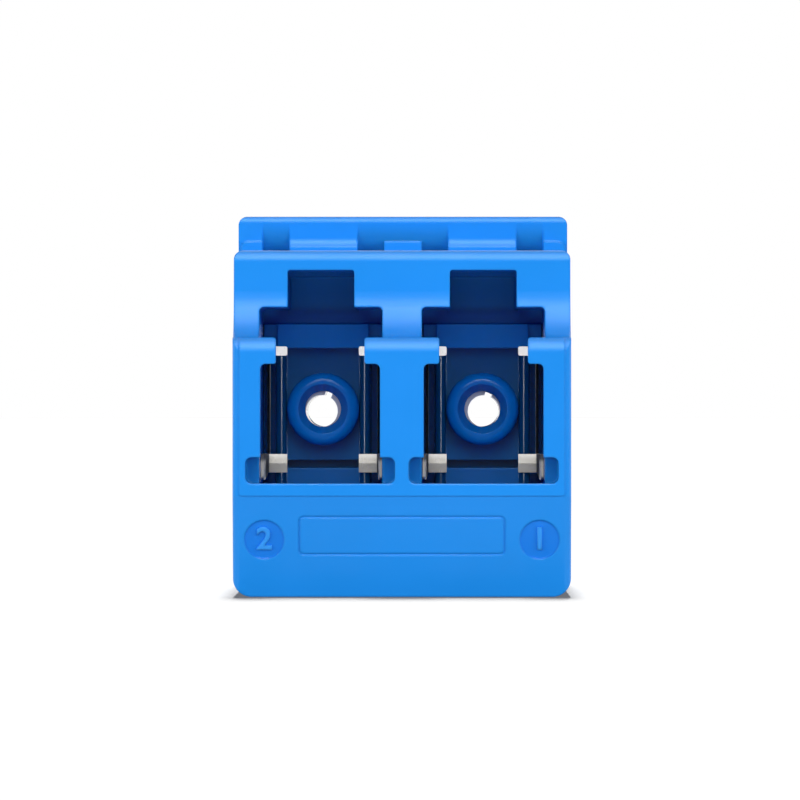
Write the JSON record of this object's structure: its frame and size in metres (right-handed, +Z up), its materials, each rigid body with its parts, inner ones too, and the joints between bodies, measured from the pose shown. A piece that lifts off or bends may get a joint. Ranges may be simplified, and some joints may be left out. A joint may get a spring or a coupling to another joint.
{
  "type": "lc fibre adapter",
  "caption": "Blue coupler that joins optical fibre plugs end to end, with side-by-side square ports, latch slots and ceramic alignment sleeves.",
  "frame": {"origin": "middle of the footprint on the plane that the adapter stands on, under the joint of its two halves", "axes": "+Y from the labelled front ports to the rear ports along the ferrule axes, +Z up from the foot to the collar, +X to the right seen from the front"},
  "size_m": [0.013, 0.0268, 0.0148],
  "materials": {
    "housing_plastic": "satin moulded",
    "holder_plastic": "satin moulded",
    "sleeve_ceramic": "polished",
    "spring_steel": "rolled"
  },
  "bodies": {
    "root": {"front_housing": "housing_plastic", "rear_housing": "housing_plastic", "front_left_sleeve_holder": "holder_plastic", "front_right_sleeve_holder": "holder_plastic", "rear_left_sleeve_holder": "holder_plastic", "rear_right_sleeve_holder": "holder_plastic", "left_alignment_sleeve": "sleeve_ceramic", "right_alignment_sleeve": "sleeve_ceramic", "front_left_outer_spring": "spring_steel", "front_left_inner_spring": "spring_steel", "front_right_outer_spring": "spring_steel", "front_right_inner_spring": "spring_steel", "rear_left_outer_spring": "spring_steel", "rear_left_inner_spring": "spring_steel", "rear_right_outer_spring": "spring_steel", "rear_right_inner_spring": "spring_steel"}
  },
  "joints": []
}
